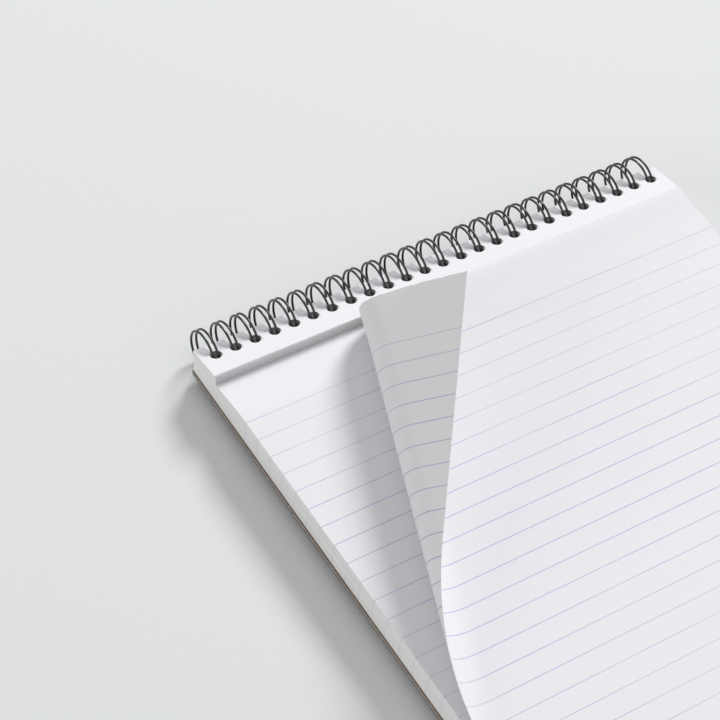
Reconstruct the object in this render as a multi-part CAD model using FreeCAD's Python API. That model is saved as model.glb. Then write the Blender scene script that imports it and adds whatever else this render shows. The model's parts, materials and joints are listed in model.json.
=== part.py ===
"""Twin-loop wire notebook: a ruled pad on a stiff back board, with its top sheet half torn off and curling.

Millimetres. X runs along the binding, +Y points to the binding and +Z is up. The rings touch Z = 0,
and the board lies board_lift above it, because the rings stand out below the board.
"""
import FreeCAD, Part
import math
import os

from FreeCAD import Vector

# Sheets: letter width, with a tear-off length of eleven inches below the perforation.
sheet_width = 215.9
tear_off_length = 279.4
stub_length = 16.1
paper_stack = 10.9
paper_thickness = 0.15
stack_gap = 0.03

# Wire: three loops to the inch, three quarters of an inch across.
loop_pitch = 25.4 / 3
loop_count = int(sheet_width / loop_pitch)
wire_diameter = 0.95
ring_outside = 19.05
leg_spacing = 2.15
link_bend_radius = 1.2
closure_angle = 262.0
closure_opening = 10.0

# Punching and the back board.
hole_diameter = 5.0
hole_to_edge = 6.5
hole_run_out = 3.0
board_thickness = 1.2
board_lift = 4.15
board_overhang = 0.8
board_corner_radius = 3.5

# The stack is pressed down where the rings hold it.
dip_depth = 1.95
dip_start = 22.0
dip_end = -1.5

# Stubs of the torn-out sheets fan open from the rings to the perforation.
stub_stack_back = 0.62
stub_stack_front = 3.30
stub_face_lean = -1.3

# The top sheet: torn along the perforation up to tear_x, then rolled over about a slanted line.
tear_x = 76.0
curl_slant = math.radians(20.8)
curl_radius = 14.2
curl_turn = math.radians(138.0)
ramp_length = 20.0
ramp_fade = 14.0
curl_rest_gap = 0.1
slit_width = 0.3
grid_across = 26
grid_down = 56

# Places that follow from the sizes above.
ring_radius = (ring_outside - wire_diameter) / 2
ring_z = ring_outside / 2
board_top = board_lift + board_thickness
page_top = board_top + stack_gap + paper_stack


def reach(z):
    """How far the ring's circle stands in front of the ring's axis at height z."""
    return math.sqrt(ring_radius ** 2 - (z - ring_z) ** 2)


dipped_top = page_top - dip_depth
tail_to_foot = stub_length + tear_off_length
# The axis lies so that the whole notebook is centred on Y = 0.
axis_y = (tail_to_foot + ring_radius + board_overhang - hole_to_edge - ring_outside / 2) / 2
tail_y = axis_y + hole_to_edge - reach(dipped_top)
tear_y = tail_y - stub_length
left_x = -sheet_width / 2
first_loop_x = -(loop_count - 1) * loop_pitch / 2
tail_arc_y = axis_y + hole_to_edge
foot_arc_y = tail_arc_y - tail_to_foot
stub_top = dipped_top + 2 * stack_gap + stub_stack_front


def at_loops(shape):
    """Copies of a shape, one at each loop of the wire."""
    copies = []
    for index in range(loop_count):
        copy = shape.copy()
        copy.translate(Vector(first_loop_x + index * loop_pitch, 0, 0))
        copies.append(copy)
    return copies


def hole_channels():
    """The punched holes as one curved channel a loop: the sheets are sheared along the ring."""
    channel = Part.makeTorus(ring_radius, hole_diameter / 2, Vector(0, axis_y, ring_z), Vector(1, 0, 0))
    return at_loops(channel)


def straight_holes(z_low, z_high):
    """The holes of a thin piece: straight, along the chord of the ring between two heights."""
    low = Vector(0, axis_y - reach(z_low), z_low)
    chord = Vector(0, axis_y - reach(z_high), z_high) - low
    run_out = Vector(chord).normalize()
    length = chord.Length + 2 * hole_run_out
    return at_loops(Part.makeCylinder(hole_diameter / 2, length, low - run_out * hole_run_out, run_out))


def side_point(y, z):
    """A point of a side profile, at the sheets' left edge."""
    return Vector(left_x, y, z)


def fan_arc(centre_y, z_low, z_high):
    """The line that the sheets' edges make, because their holes follow the ring."""
    z_middle = (z_low + z_high) / 2
    points = [side_point(centre_y - reach(z), z) for z in (z_low, z_middle, z_high)]
    return Part.Arc(*points).toShape()


def extruded_profile(edges):
    """A solid as wide as the sheets from the edges of its side profile."""
    outline = Part.Wire(Part.__sortEdges__(edges))
    return Part.Face(outline).extrude(Vector(sheet_width, 0, 0))


def page_height(y):
    """The height of the block's upper page, which dips towards the rings."""
    start = tear_y - dip_start
    span = dip_start + dip_end
    share = min(max((y - start) / span, 0.0), 1.0)
    return page_top - dip_depth * share * share * (3 - 2 * share)


def page_block():
    """The sheets that are still whole, as one block."""
    bottom = board_top + stack_gap
    foot_top_y = foot_arc_y - reach(page_top)
    dip_from = tear_y - dip_start
    dip_to = tear_y + dip_end
    third = (dip_to - dip_from) / 3
    slope = Part.BezierCurve()
    slope.setPoles([side_point(dip_from, page_top), side_point(dip_from + third, page_top),
                    side_point(dip_to - third, dipped_top), side_point(dip_to, dipped_top)])
    tail = fan_arc(tail_arc_y, bottom, dipped_top)
    foot = fan_arc(foot_arc_y, bottom, page_top)
    edges = [
        tail, foot, slope.toShape(),
        Part.makeLine(side_point(foot_top_y, page_top), side_point(dip_from, page_top)),
        Part.makeLine(side_point(dip_to, dipped_top), side_point(tail_y, dipped_top)),
        Part.makeLine(side_point(foot_arc_y - reach(bottom), bottom),
                      side_point(tail_arc_y - reach(bottom), bottom)),
    ]
    return extruded_profile(edges).cut(hole_channels())


def stub_profile(front_low, front_high, back_low, back_high, lean):
    """A wedge from the rings to the perforation, with its holes."""
    corners = [
        side_point(tear_y + lean, front_low), side_point(tear_y, front_high),
        side_point(tail_y, back_high), side_point(tail_y, back_low),
    ]
    outline = Part.makePolygon(corners + corners[:1])
    return Part.Face(outline).extrude(Vector(sheet_width, 0, 0))


def torn_stubs():
    """What is left of the sheets torn out before, fanned open towards the perforation."""
    base = dipped_top + stack_gap
    wedge = stub_profile(base, base + stub_stack_front, base, base + stub_stack_back, stub_face_lean)
    return wedge.cut(straight_holes(base, base + stub_stack_back))


def curled_point(across, down):
    """Where a point of the flat tear-off part lies, across from the left edge and down from the tear."""
    from_tear = across - tear_x
    over = -from_tear * math.cos(curl_slant) - down * math.sin(curl_slant)
    along = -from_tear * math.sin(curl_slant) + down * math.cos(curl_slant)
    turned = min(max(over, 0.0), curl_radius * curl_turn)
    angle = turned / curl_radius
    straight = max(over - curl_radius * curl_turn, 0.0)
    if over < 0:
        out = over
        up = 0.0
    else:
        out = curl_radius * math.sin(angle) + straight * math.cos(curl_turn)
        up = curl_radius * (1 - math.cos(angle)) + straight * math.sin(curl_turn)
    x = left_x + tear_x - out * math.cos(curl_slant) - along * math.sin(curl_slant)
    y = tear_y + out * math.sin(curl_slant) - along * math.cos(curl_slant)
    share = min(max(1 - (tear_y - y) / ramp_length, 0.0), 1.0)
    base = page_height(y) + curl_rest_gap
    fade = math.exp(-(max(over, 0.0) / ramp_fade) ** 2)
    ramp = (stub_top - base) * share * share * (3 - 2 * share) * fade
    return Vector(x, y, base + ramp + up)


def curled_normal(across, down):
    """The direction that stands up from the sheet's upper side."""
    step = 0.001
    right = curled_point(across + step, down) - curled_point(across - step, down)
    away = curled_point(across, down - step) - curled_point(across, down + step)
    return right.cross(away).normalize()


def skin(lift):
    """One side of the part left of the tear's end, lift above its lower side."""
    rows = []
    for i in range(grid_across + 1):
        across = tear_x * i / grid_across
        row = []
        for j in range(grid_down + 1):
            down = tear_off_length * j / grid_down
            row.append(curled_point(across, down) + curled_normal(across, down) * lift)
        rows.append(row)
    surface = Part.BSplineSurface()
    surface.interpolate(rows)
    return surface.toShape()


def at_tear_end(edge):
    """Whether an edge runs down the sheet from the end of the tear."""
    return all(abs(vertex.X - left_x - tear_x) < stack_gap for vertex in edge.Vertexes)


def tear_off_part():
    """The sheet below the perforation: the curled left part, and the flat part carried on to the right."""
    lower = skin(0.0)
    upper = skin(paper_thickness)
    same_direction = 1
    faces = [lower, upper]
    for low, high in zip(lower.Edges, upper.Edges):
        if at_tear_end(low):
            to_right = Vector(sheet_width - tear_x, 0, 0)
            flats = [low.extrude(to_right), high.extrude(to_right)]
            pairs = [pair for pair in zip(flats[0].Edges, flats[1].Edges) if not at_tear_end(pair[0])]
            rims = [Part.makeRuledSurface(*pair, same_direction) for pair in pairs]
            faces += flats + rims
        else:
            faces.append(Part.makeRuledSurface(low, high, same_direction))
    skins = Part.makeCompound(faces)
    skins.sewShape(0.001)
    return Part.makeSolid(skins.Shells[0])


def top_sheet():
    """The sheet being torn out: its stub under the rings and the part that curls away."""
    back = dipped_top + 2 * stack_gap + stub_stack_back
    stub = stub_profile(stub_top, stub_top + paper_thickness, back, back + paper_thickness, 0.0)
    slit = Part.makeBox(tear_x, slit_width, ring_outside, Vector(left_x, tear_y, page_top))
    stub = stub.cut([slit] + straight_holes(back, back + paper_thickness))
    return stub.fuse([tear_off_part()], 0.001)


def back_board():
    """The stiff board, a little larger than the sheets, with rounded corners and its own holes."""
    hole_y = axis_y - reach(board_lift + board_thickness / 2)
    back_y = hole_y + hole_to_edge + board_overhang
    front_y = foot_arc_y - ring_radius - board_overhang
    board = Part.makeBox(sheet_width + 2 * board_overhang, back_y - front_y, board_thickness,
                         Vector(left_x - board_overhang, front_y, board_lift))
    upright = [edge for edge in board.Edges if abs(edge.tangentAt(edge.FirstParameter).z) > 0.9]
    board = board.makeFillet(board_corner_radius, upright)
    hole = Part.makeCylinder(hole_diameter / 2, board_thickness + 2, Vector(0, hole_y, board_lift - 1))
    return board.cut(at_loops(hole))


def ring_point(x, angle_deg, radius=ring_radius):
    """A point on a loop, its angle measured from the back (+Y) over the top."""
    angle = math.radians(angle_deg)
    return Vector(x, axis_y + radius * math.cos(angle), ring_z + radius * math.sin(angle))


def ring_heading(angle_deg):
    """The direction in which a loop runs on at that angle."""
    angle = math.radians(angle_deg)
    return Vector(0, -math.sin(angle), math.cos(angle))


def swept_bend(start, heading, pivot_side, radius, turn_deg):
    """A bend of round wire: it starts at a point along a heading and turns towards one side."""
    pivot = start + pivot_side * radius
    axis = heading.cross(pivot_side)
    section = Part.Face(Part.Wire(Part.makeCircle(wire_diameter / 2, start, heading)))
    return section.revolve(pivot, axis, turn_deg)


def leg(x, start_deg, end_deg):
    """One leg of a hairpin, bent round the ring's circle."""
    section = Part.Face(Part.Wire(Part.makeCircle(wire_diameter / 2, ring_point(x, start_deg),
                                                  ring_heading(start_deg))))
    return section.revolve(Vector(x, axis_y, ring_z), Vector(1, 0, 0), end_deg - start_deg)


def wire_binding():
    """The wire: twin-legged loops, joined at their feet by straight links, closed under the board."""
    right = Vector(1, 0, 0)
    half = leg_spacing / 2
    foot_deg = closure_angle + closure_opening / 2 - 360
    tip_deg = closure_angle - closure_opening / 2
    tip_heading = ring_heading(tip_deg)
    foot_heading = ring_heading(foot_deg) * -1
    pieces = [
        leg(-half, foot_deg, tip_deg),
        leg(half, foot_deg, tip_deg),
        swept_bend(ring_point(-half, tip_deg), tip_heading, right, half, 180),
    ]
    left_bend = swept_bend(ring_point(-half, foot_deg), foot_heading, right * -1, link_bend_radius, 90)
    right_bend = swept_bend(ring_point(half, foot_deg), foot_heading, right, link_bend_radius, 90)
    pieces += [left_bend, right_bend]
    loop = pieces[0].multiFuse(pieces[1:])
    link_start = ring_point(half + link_bend_radius, foot_deg) + foot_heading * link_bend_radius
    link_length = loop_pitch - leg_spacing - 2 * link_bend_radius
    link = Part.makeCylinder(wire_diameter / 2, link_length, link_start, right)
    links = at_loops(link)[:-1]
    loops = at_loops(loop)
    return loops[0].multiFuse(loops[1:] + links)


def write(name, shape):
    """Write one piece to its own file."""
    print(name, shape.ShapeType, shape.isValid(), len(shape.Solids), round(shape.Volume, 1))
    shape.exportStep(f"parts/{name}.step")


os.makedirs("parts", exist_ok=True)
write("back_board", back_board())
write("wire_binding", wire_binding())
write("page_block", page_block())
write("torn_stubs", torn_stubs())
write("top_sheet", top_sheet())
print("ring axis", round(axis_y, 3), round(ring_z, 3), "board", board_lift, "page", round(page_top, 3))
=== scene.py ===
"""Looks of a twin-loop wire notebook with its top sheet half torn off, on a pale studio floor."""
import json
import math

import bpy
import numpy as np
from mathutils import Euler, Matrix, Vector


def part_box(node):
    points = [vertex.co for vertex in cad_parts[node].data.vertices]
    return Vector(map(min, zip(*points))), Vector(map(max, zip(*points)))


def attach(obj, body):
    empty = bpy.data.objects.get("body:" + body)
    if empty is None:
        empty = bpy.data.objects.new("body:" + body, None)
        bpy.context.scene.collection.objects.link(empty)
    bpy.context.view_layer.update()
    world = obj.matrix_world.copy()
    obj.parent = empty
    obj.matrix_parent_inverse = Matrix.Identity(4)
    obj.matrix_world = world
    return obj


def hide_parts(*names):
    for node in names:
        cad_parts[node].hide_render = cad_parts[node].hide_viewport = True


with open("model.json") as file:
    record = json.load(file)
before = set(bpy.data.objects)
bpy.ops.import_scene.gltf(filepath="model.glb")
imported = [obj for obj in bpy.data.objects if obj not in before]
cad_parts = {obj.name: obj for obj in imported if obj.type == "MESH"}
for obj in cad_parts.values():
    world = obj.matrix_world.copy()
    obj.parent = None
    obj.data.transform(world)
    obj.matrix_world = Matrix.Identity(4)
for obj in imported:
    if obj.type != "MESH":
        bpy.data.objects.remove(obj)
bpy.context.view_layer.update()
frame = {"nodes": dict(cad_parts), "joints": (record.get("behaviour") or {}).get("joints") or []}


# The camera looks down across the pad from its left, near the foot, turned a little about its own
# line of sight. Its place is the one that puts the rulings, holes and corners where the photo has them.
camera_place = Vector((-0.4042, -0.3217, 0.6714))
camera_turn = Euler((math.radians(39.97), math.radians(-5.53), math.radians(-31.80)))
sensor_width = 36.0
focal_length = 115.18
frame_shift = (0.0201, -0.0025)

camera_data = bpy.data.cameras.new("camera")
camera_data.sensor_width = sensor_width
camera_data.lens = focal_length
camera_data.shift_x, camera_data.shift_y = frame_shift
camera = bpy.data.objects.new("camera", camera_data)
camera.location = camera_place
camera.rotation_euler = camera_turn
bpy.context.scene.collection.objects.link(camera)
bpy.context.scene.camera = camera
bpy.context.scene.view_settings.view_transform = "Standard"


# The wire: soft steel wire in a black coat, bent to hairpins that stand side by side, joined at their
# feet by straight links, and closed to rings so that the hairpins' tips lie against the links. The
# closing seam is turned under the board. It is one run of wire from end to end.
pages_turn = frame["joints"][0]
ring_axis = np.array(pages_turn["pos_m"])
wire_radius = 0.000475
ring_radius = ring_axis[2] - wire_radius
loop_count = 25
loop_pitch = 0.0254 / 3
leg_spacing = 0.00215
link_bend = 0.0012
foot_angle = math.radians(-93)
tip_angle = math.radians(257)
loop_places = (np.arange(loop_count) - (loop_count - 1) / 2) * loop_pitch


def mesh_piece(name, points, faces, finish, body, stands_for=(), slot=None, flat=None):
    """A smooth-shaded piece from arrays of points and of four-cornered faces, riding on a body."""
    mesh = bpy.data.meshes.new(name)
    mesh.vertices.add(len(points))
    mesh.vertices.foreach_set("co", np.ascontiguousarray(points, np.float32).ravel())
    mesh.loops.add(faces.size)
    mesh.loops.foreach_set("vertex_index", np.ascontiguousarray(faces, np.int32).ravel())
    mesh.polygons.add(len(faces))
    mesh.polygons.foreach_set("loop_start", np.arange(len(faces), dtype=np.int32) * 4)
    mesh.update(calc_edges=True)
    mesh.shade_smooth()
    mesh.set_sharp_from_angle(angle=math.radians(50))
    if flat is not None:
        mesh.attributes.new("flat", "FLOAT_VECTOR", "POINT")
        mesh.attributes["flat"].data.foreach_set("vector", np.ascontiguousarray(flat, np.float32).ravel())
    mesh.materials.append(finish)
    piece = bpy.data.objects.new(name, mesh)
    bpy.context.scene.collection.objects.link(piece)
    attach(piece, body)
    if stands_for:
        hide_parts(*stands_for)
    return piece


def grid_faces(rows, columns, wrap=False):
    """Corner numbers of the faces of a grid of points, row after row. Wrap joins the last column to
    the first."""
    across = np.arange(columns if wrap else columns - 1)
    start = np.arange(rows - 1)[:, None] * columns
    near, far = start + across, start + (across + 1) % columns
    return np.stack([near, far, far + columns, near + columns], axis=-1).reshape(-1, 4)


class Signal:
    """A number that changes over a surface. Arithmetic on it adds Math nodes to its finish."""

    def __init__(self, finish, socket):
        self.finish, self.socket = finish, socket

    def math(self, operation, *terms, first=None):
        settings = {"operation": operation}
        values = [self if first is None else first, *terms]
        node = self.finish.add("Math", settings, dict(enumerate(values)))
        return Signal(self.finish, node.outputs[0])

    def __add__(self, other):
        return self.math("ADD", other)

    def __radd__(self, other):
        return self.math("ADD", other)

    def __sub__(self, other):
        return self.math("SUBTRACT", other)

    def __rsub__(self, other):
        return self.math("SUBTRACT", self, first=other)

    def __mul__(self, other):
        return self.math("MULTIPLY", other)

    def __rmul__(self, other):
        return self.math("MULTIPLY", other)

    def __truediv__(self, other):
        return self.math("DIVIDE", other)

    def __gt__(self, other):
        return self.math("GREATER_THAN", other)

    def __lt__(self, other):
        return self.math("LESS_THAN", other)

    def __abs__(self):
        return self.math("ABSOLUTE")

    def wave_place(self):
        """The distance to the nearest whole number."""
        return abs(self - self.math("ROUND"))

    def rise(self, low, high):
        """Goes smoothly from 0 at low to 1 at high."""
        settings = {"interpolation_type": "SMOOTHSTEP"}
        values = {"Value": self, "From Min": low, "From Max": high, "To Min": 0.0, "To Max": 1.0}
        return Signal(self.finish, self.finish.add("MapRange", settings, values).outputs["Result"])


class Finish:
    """A material: one principled shader, and the nodes that feed it."""

    def __init__(self, name, constants):
        self.material = bpy.data.materials.new(name)
        self.material.use_nodes = True
        self.tree = self.material.node_tree
        self.shader = self.tree.nodes["Principled BSDF"]
        for socket, value in constants.items():
            self.shader.inputs[socket].default_value = value

    def add(self, kind, settings, values):
        """Any node: its type, its settings, and the values or links of its sockets."""
        node = self.tree.nodes.new("ShaderNode" + kind)
        for setting, value in settings.items():
            setattr(node, setting, value)
        for socket, value in values.items():
            if isinstance(value, Signal):
                self.tree.links.new(value.socket, node.inputs[socket])
            elif isinstance(value, bpy.types.NodeSocket):
                self.tree.links.new(value, node.inputs[socket])
            else:
                node.inputs[socket].default_value = value
        return node

    def feed(self, socket, source):
        """Link a value or a colour to a socket of the shader."""
        output = source.socket if isinstance(source, Signal) else source
        self.tree.links.new(output, self.shader.inputs[socket])

    def place(self):
        """Object coordinates, as a vector socket."""
        return self.add("TexCoord", {}, {}).outputs["Object"]

    def parts(self, vector):
        """The three numbers of a vector."""
        outputs = self.add("SeparateXYZ", {}, {"Vector": vector}).outputs
        return [Signal(self, output) for output in outputs]

    def stretched(self, vector, scale):
        """A vector with each of its numbers scaled."""
        return self.add("VectorMath", {"operation": "MULTIPLY"}, {0: vector, 1: scale}).outputs["Vector"]

    def grain(self, vector, scale, detail=2.0):
        """Cloudy noise from 0 to 1 along a vector."""
        values = {"Vector": vector, "Scale": scale, "Detail": detail}
        return Signal(self, self.add("TexNoise", {}, values).outputs["Fac"])

    def blend(self, amount, start, end):
        """A colour between two colours."""
        node = self.add("Mix", {"data_type": "RGBA"}, {0: amount, 6: start, 7: end})
        return node.outputs[2]

    def emboss(self, height, distance, strength=1.0):
        """Let a height, in metres when multiplied by distance, bend the surface's normal."""
        node = self.add("Bump", {}, {"Height": height, "Distance": distance, "Strength": strength})
        self.feed("Normal", node.outputs["Normal"])


def ring_line(angles, x):
    """Points on the ring's circle at the given angles, measured from the back over the top."""
    return np.stack([np.full(len(angles), x), ring_axis[1] + ring_radius * np.cos(angles),
                     ring_axis[2] + ring_radius * np.sin(angles)], axis=1)


def bend_line(centre, first, second, radius, angles):
    """Points of a bend: the centre, plus cosine times one direction and sine times the other."""
    return centre + radius * (np.outer(np.cos(angles), first) + np.outer(np.sin(angles), second))


def loop_line():
    """The middle line of one loop: a bend out of a link, a leg up round the ring, the tip's bend, and
    the same way back."""
    right = np.array([1.0, 0, 0])
    half = leg_spacing / 2
    ring_angles = np.linspace(foot_angle, tip_angle, 110)
    foot_heading = np.array([0, -math.sin(foot_angle), math.cos(foot_angle)])
    tip_heading = np.array([0, -math.sin(tip_angle), math.cos(tip_angle)])
    up_leg = ring_line(ring_angles, -half)
    quarter = np.linspace(0, math.pi / 2, 7)[:-1]
    foot = bend_line(up_leg[0] - right * link_bend, -foot_heading, right, link_bend, quarter)
    tip_centre = up_leg[-1] + right * half
    tip = bend_line(tip_centre, -right, tip_heading, half, np.linspace(0, math.pi, 13)[1:-1])
    left_side = np.concatenate([foot, up_leg])
    right_side = left_side[::-1] * np.array([-1, 1, 1])
    return np.concatenate([left_side, tip, right_side])


def wire_tube(line, sides=12):
    """Round tube about a line on the ring's circle: each section lies across the line, turned so that
    its first direction points away from the ring's axis."""
    heading = np.gradient(line, axis=0)
    heading /= np.linalg.norm(heading, axis=1, keepdims=True)
    outward = (line - ring_axis) * np.array([0, 1, 1])
    outward -= heading * (outward * heading).sum(1, keepdims=True)
    outward /= np.linalg.norm(outward, axis=1, keepdims=True)
    sideways = np.cross(heading, outward)
    turn = np.linspace(0, 2 * math.pi, sides, endpoint=False)
    ring = outward[:, None] * np.cos(turn)[:, None] + sideways[:, None] * np.sin(turn)[:, None]
    return line[:, None] + wire_radius * ring


def closed_tube(rings):
    """Points and faces of a tube whose two ends are closed by a flat cap about a middle point."""
    rows, sides = rings.shape[:2]
    points = np.concatenate([rings.reshape(-1, 3), rings[:1].mean(1), rings[-1:].mean(1)])
    faces = grid_faces(rows, sides, wrap=True)
    step = np.arange(0, sides, 2)
    first_cap = np.stack([step, np.full_like(step, rows * sides), (step + 2) % sides, step + 1], axis=1)
    last = (rows - 1) * sides
    last_cap = np.stack([last + step, last + step + 1, last + (step + 2) % sides,
                         np.full_like(step, rows * sides + 1)], axis=1)
    return points, np.concatenate([faces, first_cap, last_cap])


one_loop = loop_line()
binding_line = np.concatenate([one_loop + np.array([place, 0, 0]) for place in loop_places])
wire_points, wire_faces = closed_tube(wire_tube(binding_line))

coat_dark, coat_pale = (0.008, 0.008, 0.009, 1), (0.022, 0.022, 0.024, 1)
coat_gloss = {"Coat Weight": 0.35, "Coat Roughness": 0.18, "Specular IOR Level": 0.5}
coated_wire = Finish("black_coated_wire", coat_gloss)
wire_place = coated_wire.place()
coat_mottle = coated_wire.grain(wire_place, 900.0, 3.0)
coated_wire.feed("Base Color", coated_wire.blend(coat_mottle, coat_dark, coat_pale))
coated_wire.feed("Roughness", 0.26 + 0.16 * coat_mottle)
coated_wire.emboss(coated_wire.grain(wire_place, 5200.0), 0.00001, 0.5)
mesh_piece("twin_loop_wire", wire_points, wire_faces, coated_wire.material, "back",
           ("wire_binding",), "black_wire")


# The back board: thick grey-brown pulp board, die-cut with rounded corners and punched with the sheets.
# Flecks of fibre show on its faces, and its cut edge is pale where it is split, with a painted shadow
# darkening it along its foot.
board_low, board_high = (np.array(corner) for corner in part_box("back_board"))
pulp_board = Finish("pulp_board", {"Specular IOR Level": 0.2})
board_place = pulp_board.place()
pulp_cloud = pulp_board.grain(board_place, 55.0, 5.0)
pulp_fleck = pulp_board.grain(pulp_board.stretched(board_place, (1.0, 0.35, 1.0)), 1500.0, 3.0)
deep_pulp, mid_pulp, fleck_tone = (0.17, 0.135, 0.11, 1), (0.27, 0.22, 0.18, 1), (0.36, 0.30, 0.25, 1)
pulp_dark = pulp_board.blend(pulp_cloud, deep_pulp, mid_pulp)
pulp_face = pulp_board.blend(pulp_fleck.rise(0.58, 0.72), pulp_dark, fleck_tone)
board_z = pulp_board.parts(board_place)[2]
edge_height = (board_z - board_low[2]) / (board_high[2] - board_low[2])
# Painted shadow: the cut edge's colour darkens from its middle down to its foot.
edge_unshaded_share = (edge_height + (pulp_fleck - 0.5) * 0.5).rise(0.4, 0.8)
edge_foot_painted_shadow, edge_split_tone = (0.10, 0.08, 0.066, 1), (0.52, 0.46, 0.41, 1)
pulp_edge_painted_shadow = pulp_board.blend(edge_unshaded_share, edge_foot_painted_shadow, edge_split_tone)
board_facing = pulp_board.parts(pulp_board.add("TexCoord", {}, {}).outputs["Normal"])
pulp_board.feed("Base Color", pulp_board.blend(abs(board_facing[2]).rise(0.3, 0.7), pulp_edge_painted_shadow, pulp_face))
pulp_board.feed("Roughness", 0.82 + 0.12 * pulp_fleck)
pulp_board.emboss(pulp_fleck, 0.00006, 0.6)
board = frame["nodes"]["back_board"]
board.data.materials.clear()
board.data.materials.append(pulp_board.material)


# The whole sheets: about a hundred sheets of white writing paper, ruled on both sides in pale
# blue-violet right out to the trimmed edges, punched together and lying in a block on the board.
page_low, page_high = (np.array(corner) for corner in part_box("page_block"))
stub_low, stub_high = (np.array(corner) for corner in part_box("torn_stubs"))
tail_y = stub_high[1]
stub_length = 0.0161
tear_y = tail_y - stub_length
left_x, right_x = page_low[0], page_high[0]
first_ruling = 0.0231
ruling_step = 0.008731
last_ruling = 28
ruling_width = 0.00034
paper_lit = (0.815, 0.815, 0.832, 1)
ruling_ink = (0.50, 0.49, 0.72, 1)


def ruling_mask(down, width=ruling_width):
    """1 on a ruling and 0 between: the distance to the nearest whole step below the first ruling."""
    step = (down - first_ruling) / ruling_step
    near = (step.wave_place() * ruling_step).rise(width * 0.75, width * 0.35)
    return near * (step > -0.5) * (step < last_ruling + 0.5)


def print_density(finish, place):
    """How strongly the rulings are printed: it drifts along them, from 0.45 to 1."""
    return 0.45 + 0.55 * finish.grain(place, 14.0, 1.0).rise(0.35, 0.62)


def paper_tooth(finish, place):
    """The fine fibre surface of uncoated paper, as a height from 0 to 1."""
    return finish.grain(place, 2600.0, 4.0) * 0.6 + finish.grain(place, 420.0, 3.0) * 0.4


block_paper = Finish("block_paper", {"Specular IOR Level": 0.25})
block_place = block_paper.place()
block_y = block_paper.parts(block_place)[1]
facing = block_paper.parts(block_paper.add("TexCoord", {}, {}).outputs["Normal"])
top_face = facing[2].rise(0.3, 0.7)
side_face = abs(facing[0]).rise(0.3, 0.7)
leaf_line = block_paper.grain(block_paper.stretched(block_place, (9.0, 9.0, 5200.0)), 1.0, 2.0)
leaf_drift = block_paper.grain(block_paper.stretched(block_place, (6.0, 6.0, 900.0)), 1.0, 3.0)
bleed = ruling_mask((tear_y - block_y) + (leaf_drift - 0.5) * 0.0011, 0.0006) * (0.25 + 0.75 * leaf_line)
cut_dark, cut_pale = (0.60, 0.61, 0.59, 1), (0.80, 0.80, 0.785, 1)
edge_tone = block_paper.blend(leaf_line.rise(0.3, 0.7), cut_dark, cut_pale)
edge_inked = block_paper.blend(bleed * side_face * 0.45, edge_tone, ruling_ink)
block_print = ruling_mask(tear_y - block_y) * print_density(block_paper, block_place)
page_ruled = block_paper.blend(block_print, paper_lit, ruling_ink)
block_paper.feed("Base Color", block_paper.blend(top_face, edge_inked, page_ruled))
block_paper.feed("Roughness", 0.78 + 0.1 * leaf_drift)
block_tooth = paper_tooth(block_paper, block_place)
block_paper.emboss(leaf_line * (1 - top_face) + block_tooth * 0.12, 0.00012, 0.8)
block = frame["nodes"]["page_block"]
block.data.materials.clear()
block.data.materials.append(block_paper.material)


# The stubs of the sheets torn out before: they fan open from the rings, and their torn edges make a soft
# grey step along the perforation, with painted shade darkening it towards its foot. Each torn edge wanders
# by a few tenths of a millimetre.
leaf_count = 22
leaf_thickness = 0.00011
leaf_root = 0.0022
stub_lean = -0.0013
fringe_reach = 0.00012
stub_base = stub_low[2]
stub_step = stub_high[2] - stub_low[2]
perforation = 0.00127
chance = np.random.default_rng(7)


def torn_line(waves=40, shortest=0.0006, longest=0.012):
    """A torn line, between about -1 and 1: a sum of sines of random phase, shorter waves being weaker."""
    lengths = np.geomspace(shortest, longest, waves)
    phases = chance.uniform(0, 2 * math.pi, waves)
    weights = (lengths / longest) ** 0.35 / waves ** 0.5
    return lambda x: (weights * np.sin(2 * math.pi * np.asarray(x)[..., None] / lengths + phases)).sum(-1)


def slab(lower, upper, wrap=False):
    """Points and faces of a closed slab between two grids: both skins and the walls that join their
    edges. Where the grid is wrapped, the walls are one ring round its first row and one in its last."""
    rows, columns = lower.shape[:2]
    count = rows * columns
    points = np.concatenate([lower.reshape(-1, 3), upper.reshape(-1, 3)])
    skin = grid_faces(rows, columns, wrap)
    number = np.arange(count).reshape(rows, columns)
    if wrap:
        edges = [number[0], number[-1, ::-1]]
    else:
        edges = [np.concatenate([number[0, :-1], number[:-1, -1], number[-1, :0:-1], number[:0:-1, 0]])]
    walls = [np.stack([edge, np.roll(edge, -1), np.roll(edge, -1) + count, edge + count], axis=1)
             for edge in edges]
    return points, np.concatenate([skin[:, ::-1], skin + count] + walls)


def joined(parts):
    """One array of points and one of faces from several pairs of them."""
    starts = np.cumsum([0] + [len(points) for points, faces in parts[:-1]])
    return (np.concatenate([points for points, faces in parts]),
            np.concatenate([faces + start for (points, faces), start in zip(parts, starts)]))


def stub_leaf(level):
    """One torn stub's front strip: its root lies in the stack, and its ragged free edge lies further out
    the lower its level, from 0 at the foot of the step to 1 at its top."""
    x = np.linspace(left_x + 0.0001, right_x - 0.0001, 260)
    free = tear_y + stub_lean * (1 - level) - fringe_reach * (1 + torn_line()(x))
    y = np.stack([np.full_like(x, tear_y + leaf_root), free + 0.0006, free])
    height = stub_base + 0.00008 + level * (stub_step - 0.0002) * np.array([0.9, 0.98, 1.0])[:, None]
    lower = np.stack([np.broadcast_to(x, y.shape), y, height + 0 * y], axis=-1)
    return slab(lower[::-1], lower[::-1] + np.array([0, 0, leaf_thickness]))


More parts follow.
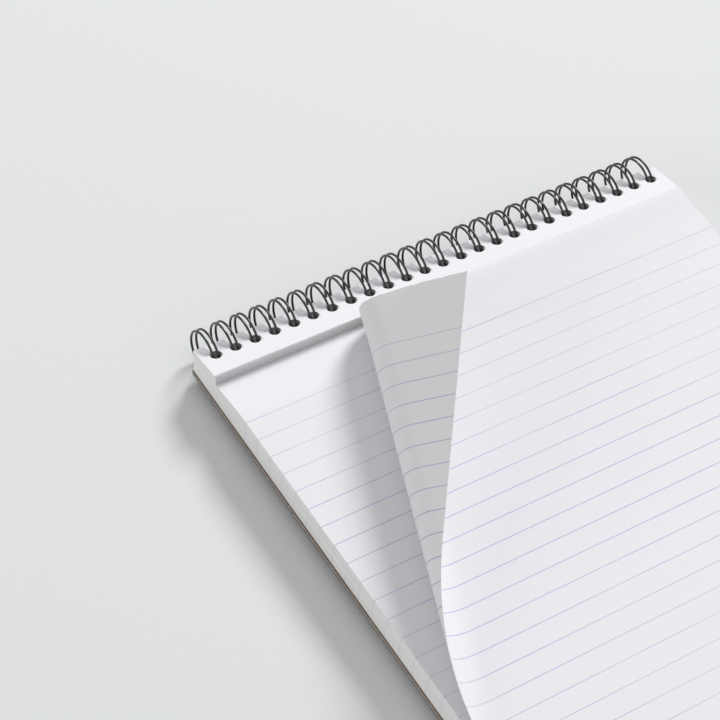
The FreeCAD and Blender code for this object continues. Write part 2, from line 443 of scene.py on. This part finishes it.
stub_paper = Finish("stub_paper", {"Specular IOR Level": 0.25})
stub_place = stub_paper.place()
stub_z = stub_paper.parts(stub_place)[2]
stub_facing = stub_paper.parts(stub_paper.add("TexCoord", {}, {}).outputs["Normal"])
stub_line = stub_paper.grain(stub_paper.stretched(stub_place, (30.0, 30.0, 6500.0)), 1.0, 2.0)
# Painted shade: the step's front face runs from dark grey at its foot to near white at its top.
stub_rise = ((stub_z - stub_base) / stub_step).rise(-0.1, 1.0)
stub_foot_painted_shade = stub_paper.blend(stub_line, (0.44, 0.445, 0.45, 1), (0.58, 0.58, 0.59, 1))
stub_head = stub_paper.blend(stub_line, (0.84, 0.84, 0.85, 1), (0.93, 0.93, 0.93, 1))
stub_front_painted_shade = stub_paper.blend(stub_rise, stub_foot_painted_shade, stub_head)
stub_side_tone = stub_paper.blend(stub_line, (0.62, 0.63, 0.61, 1), cut_pale)
stub_edge = stub_paper.blend(abs(stub_facing[0]).rise(0.5, 0.9), stub_front_painted_shade, stub_side_tone)
stub_top_tone = (0.82, 0.82, 0.83, 1)
stub_paper.feed("Base Color", stub_paper.blend(stub_facing[2].rise(0.5, 0.9), stub_edge, stub_top_tone))
stub_paper.feed("Roughness", 0.8 + 0.1 * stub_line)
stub_paper.emboss(stub_line, 0.00010, 0.7)
stub_node = frame["nodes"]["torn_stubs"]
stub_node.data.materials.clear()
stub_node.data.materials.append(stub_paper.material)
leaves = joined([stub_leaf(level) for level in (np.arange(leaf_count) + 0.5) / leaf_count])
mesh_piece("torn_edges", *leaves, stub_paper.material, "pages", slot="stub_paper")


# The top sheet: one sheet of the same paper, torn along its perforation from the left and rolled over
# about a slanted line, so that it shows its ruled back, whose paper and ink are painted darker than the
# front as painted shade. To the right it still hangs on its stub.
tear_end = 0.0760
slant = math.radians(20.8)
roll_radius = 0.0142
roll_turn = math.radians(138.0)
sheet_thickness = 0.00015
rest_gap = 0.0001
dip_depth, dip_start, dip_end = 0.00195, 0.022, -0.0015
ramp_length, ramp_fade = 0.030, 0.014
tear_off_length = 0.2794
sheet_width = right_x - left_x
stack_gap = 0.00003
hole_radius = 0.0025
hole_to_edge = 0.0065
# Painted shade: the sheet's back side, paper and ink, is coloured darker than its front, though both sides
# are the same paper.
paper_back_painted_shade = (0.675, 0.673, 0.672, 1)
back_ink_painted_shade = (0.355, 0.35, 0.535, 1)
stubs_at_perforation, stubs_at_rings = 0.0033, 0.00062
stub_front = page_high[2] - dip_depth + 2 * stack_gap + stubs_at_perforation
stub_back = page_high[2] - dip_depth + 2 * stack_gap + stubs_at_rings


def smooth(share):
    """Smooth step: three times the square less twice the cube, of a share held between 0 and 1."""
    share = np.clip(share, 0, 1)
    return share * share * (3 - 2 * share)


def rolled(across, down):
    """The lower side of the tear-off part. The distance over the slanted line runs round an arc and then
    straight on; the sheet below lies on the page, and rises on a smooth ramp to the stub."""
    from_tear = across - tear_end
    over = -from_tear * math.cos(slant) - down * math.sin(slant)
    along = -from_tear * math.sin(slant) + down * math.cos(slant)
    angle = np.clip(over / roll_radius, 0, roll_turn)
    straight = np.maximum(over - roll_radius * roll_turn, 0)
    out = np.where(over < 0, over, roll_radius * np.sin(angle) + straight * math.cos(roll_turn))
    up = roll_radius * (1 - np.cos(angle)) + straight * math.sin(roll_turn)
    x = left_x + tear_end - out * math.cos(slant) - along * math.sin(slant)
    y = tear_y + out * math.sin(slant) - along * math.cos(slant)
    base = page_high[2] - dip_depth * smooth((y - tear_y + dip_start) / (dip_start + dip_end)) + rest_gap
    ramp = (stub_front - base) * smooth(1 - (tear_y - y) / ramp_length)
    fade = np.exp(-(np.maximum(over, 0) / ramp_fade) ** 2)
    return np.stack([x, y, base + ramp * fade + up], axis=-1)


def stub_height(y):
    """The lower side of the top sheet's stub: a plane from the perforation to the tail."""
    return stub_front + (stub_back - stub_front) * (y - tear_y) / stub_length


stub_tear = torn_line()
tear_fade = 0.003
front_side = np.array([0, 0, 1.0])


def torn_share(across):
    """1 along the torn stretch of the perforation, and 0 where the sheet still hangs on its stub."""
    return smooth((tear_end - across) / tear_fade)


def tear_off_sheet():
    """Both skins of the tear-off part, its torn edge wandering inwards, and its place on the flat sheet."""
    right_columns = np.linspace(tear_end, sheet_width, 26)[1:]
    columns = np.concatenate([np.linspace(0, tear_end, 250), right_columns])
    rows = np.concatenate([np.linspace(0, 0.03, 34), np.linspace(0.03, 1, 74)[1:]])[::-1]
    nibbles = 0.00012 * np.abs(np.sin(math.pi * columns / perforation))
    torn = 0.00025 + 0.00022 * stub_tear(columns) + nibbles
    start = np.maximum(torn, 0.00005) * torn_share(columns)
    down = start + (tear_off_length - start) * rows[:, None]
    across = np.broadcast_to(columns, down.shape)
    lower = rolled(across, down)
    to_right = rolled(across + 1e-6, down) - lower
    to_foot = rolled(across, down + 1e-6) - lower
    upright = np.cross(to_foot, to_right)
    upright /= np.linalg.norm(upright, axis=-1, keepdims=True)
    flat = np.stack([across, down, np.zeros_like(down)], axis=-1).reshape(-1, 3)
    return slab(lower, lower + upright * sheet_thickness), np.concatenate([flat, flat + front_side])


def stub_skins(x, y, wrap):
    """Both skins of a part of the stub, torn back a little along its free front edge, and its place on
    the flat sheet."""
    setback = 0.0002 + 0.00018 * stub_tear(x - left_x)
    y = y + smooth(1 - (y - tear_y) / 0.002) * setback * torn_share(x - left_x)
    lower = np.stack([x, y, stub_height(y)], axis=-1)
    flat = np.stack([x - left_x, tear_y - y, np.zeros_like(y)], axis=-1).reshape(-1, 3)
    both_skins = slab(lower, lower + np.array([0, 0, sheet_thickness]), wrap)
    return both_skins, np.concatenate([flat, flat + front_side])


def stub_cell(place):
    """One punched cell: its grid runs from the cell's four sides in to the hole's circle, point to
    point."""
    low = np.array([place - loop_pitch / 2, tear_y])
    high = np.array([place + loop_pitch / 2, tail_y])
    front = np.linspace(0, 1, 35)[:-1]
    side = np.linspace(0, 1, 15)[:-1]
    across = np.concatenate([front, np.ones_like(side), 1 - front, np.zeros_like(side)])
    upward = np.concatenate([np.zeros_like(front), side, np.ones_like(front), 1 - side])
    edge = low + np.stack([across, upward], axis=1) * (high - low)
    hole = np.array([place, tail_y - hole_to_edge])
    way = edge - hole
    circle = hole + way * hole_radius / np.linalg.norm(way, axis=1, keepdims=True)
    share = (np.linspace(0, 1, 7) ** 1.3)[:, None, None]
    grid = edge + (circle - edge) * share
    return stub_skins(grid[..., 0], grid[..., 1], True)


def stub_end(low_x, high_x):
    """The strip between the last hole's cell and the sheet's side."""
    x, y = np.meshgrid(np.linspace(low_x, high_x, 9), np.linspace(tear_y, tail_y, 15))
    return stub_skins(x, y, False)


sheet_paper = Finish("ruled_sheet", {"Specular IOR Level": 0.25})
sheet_flat = sheet_paper.add("Attribute", {"attribute_name": "flat"}, {}).outputs["Vector"]
flat_across, flat_down, flat_front = sheet_paper.parts(sheet_flat)
sheet_tooth = paper_tooth(sheet_paper, sheet_flat)
slots = ((flat_across / perforation).wave_place() < 0.27) * (abs(flat_down) < 0.00016) * 0.25
# The back side takes the painted-shade paper and ink colours.
sheet_ink = sheet_paper.blend(flat_front, back_ink_painted_shade, ruling_ink)
sheet_print = ruling_mask(flat_down) * print_density(sheet_paper, sheet_flat)
sheet_sides_tone = sheet_paper.blend(flat_front, paper_back_painted_shade, paper_lit)
sheet_ruled = sheet_paper.blend(sheet_print, sheet_sides_tone, sheet_ink)
slot_tone = (0.45, 0.45, 0.47, 1)
sheet_paper.feed("Base Color", sheet_paper.blend(slots, sheet_ruled, slot_tone))
sheet_paper.feed("Roughness", 0.76 + 0.12 * sheet_tooth)
sheet_paper.emboss(sheet_tooth * 0.15 - slots, 0.00010, 0.8)

last_side = loop_pitch / 2
sheet_parts = [tear_off_sheet(), stub_end(left_x, loop_places[0] - last_side),
               stub_end(loop_places[-1] + last_side, right_x)]
sheet_parts += [stub_cell(place) for place in loop_places]
sheet_points, sheet_faces = joined([part for part, flat in sheet_parts])
mesh_piece("top_sheet_paper", sheet_points, sheet_faces, sheet_paper.material, "pages",
           ("top_sheet",), "top_paper", np.concatenate([flat for part, flat in sheet_parts]))


# The studio: a plain pale floor, a soft lamp up behind the pad on its right, a wide weaker one low on
# its left, and an even pale surround.
floor_size = 24.0
floor_looks = {"Base Color": (0.74, 0.75, 0.75, 1), "Roughness": 0.9, "Specular IOR Level": 0.1}
floor_finish = Finish("studio_floor", floor_looks)
floor_mesh = bpy.data.meshes.new("floor")
half_floor = floor_size / 2
floor_mesh.from_pydata([(-half_floor, -half_floor, 0), (half_floor, -half_floor, 0),
                        (half_floor, half_floor, 0), (-half_floor, half_floor, 0)], [], [(0, 1, 2, 3)])
floor_mesh.materials.append(floor_finish.material)
floor = bpy.data.objects.new("floor", floor_mesh)
bpy.context.scene.collection.objects.link(floor)

lamp_distance = 4.0


def soft_lamp(name, azimuth, elevation, size, energy):
    """A round lamp that faces the pad, its azimuth in degrees from +X towards the binding."""
    turn, rise = math.radians(azimuth), math.radians(elevation)
    way = Vector((math.cos(rise) * math.cos(turn), math.cos(rise) * math.sin(turn), math.sin(rise)))
    lamp_data = bpy.data.lights.new(name, "AREA")
    lamp_data.shape = "DISK"
    lamp_data.size = size
    lamp_data.energy = energy
    lamp = bpy.data.objects.new(name, lamp_data)
    lamp.location = way * lamp_distance
    lamp.rotation_euler = way.to_track_quat("Z", "Y").to_euler()
    bpy.context.scene.collection.objects.link(lamp)


soft_lamp("key_lamp", 40, 33, 1.25, 138.0)
soft_lamp("left_fill", 185, 12, 3.0, 60.0)

surround_tone, surround_level = (0.97, 0.98, 1.0, 1), 0.49
world = bpy.data.worlds.new("surround")
world.use_nodes = True
surround = world.node_tree.nodes["Background"]
surround.inputs["Color"].default_value = surround_tone
surround.inputs["Strength"].default_value = surround_level
bpy.context.scene.world = world
